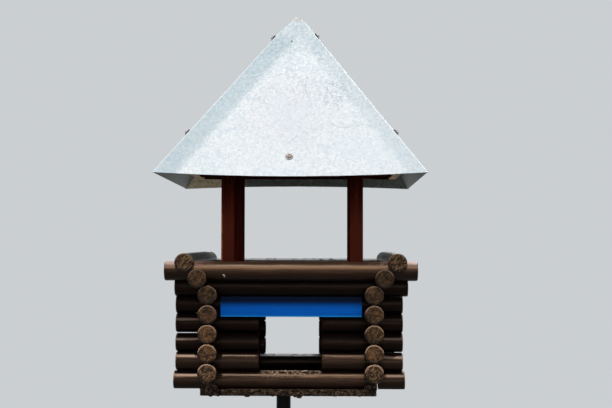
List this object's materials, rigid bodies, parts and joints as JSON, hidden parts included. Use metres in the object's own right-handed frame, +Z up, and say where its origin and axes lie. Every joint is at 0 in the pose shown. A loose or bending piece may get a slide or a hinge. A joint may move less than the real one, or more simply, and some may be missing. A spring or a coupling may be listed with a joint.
{
  "type": "log-cabin bird feeder on a pole",
  "caption": "Open-topped feeder box of notched round logs with window openings, under a steep pyramid sheet roof on corner posts, standing on one round pole.",
  "frame": {"origin": "middle of the pole's flat foot, at ground level", "axes": "+Z up along the pole; -Y towards the front wall with the window opening; +X to the right seen from the front"},
  "size_m": [0.5958, 0.5945, 2.0762],
  "materials": {
    "painted_log": "dark brown paint, semi-gloss, worn at the log ends",
    "weathered_board": "painted particle board with a crumbling edge",
    "pole_steel": "black paint, satin",
    "post_stain": "dark red-brown stain, satin",
    "blue_paint": "bright blue paint, satin",
    "bare_wood": "bare sawn softwood",
    "galvanised_sheet": "galvanised, dulled and mottled"
  },
  "bodies": {
    "root": {"front_log_1": "painted_log", "front_log_2": "painted_log", "front_log_3": "painted_log", "front_log_4": "painted_log", "front_log_5": "painted_log", "front_log_6": "painted_log", "front_log_7": "painted_log", "back_log_1": "painted_log", "back_log_2": "painted_log", "back_log_3": "painted_log", "back_log_4": "painted_log", "back_log_5": "painted_log", "back_log_6": "painted_log", "back_log_7": "painted_log", "left_log_1": "painted_log", "left_log_2": "painted_log", "left_log_3": "painted_log", "left_log_4": "painted_log", "left_log_5": "painted_log", "left_log_6": "painted_log", "left_log_7": "painted_log", "right_log_1": "painted_log", "right_log_2": "painted_log", "right_log_3": "painted_log", "right_log_4": "painted_log", "right_log_5": "painted_log", "right_log_6": "painted_log", "right_log_7": "painted_log", "side_sills": "painted_log", "floor_board": "weathered_board", "pole": "pole_steel", "front_left_post": "post_stain", "front_right_post": "post_stain", "back_left_post": "post_stain", "back_right_post": "post_stain", "front_blue_board": "blue_paint", "back_blue_board": "blue_paint", "painted_rails": "post_stain", "bare_rails": "bare_wood", "cross_beams": "post_stain", "hip_rafters": "bare_wood", "roof_front": "galvanised_sheet", "roof_back": "galvanised_sheet", "roof_left": "galvanised_sheet", "roof_right": "galvanised_sheet"}
  },
  "joints": []
}
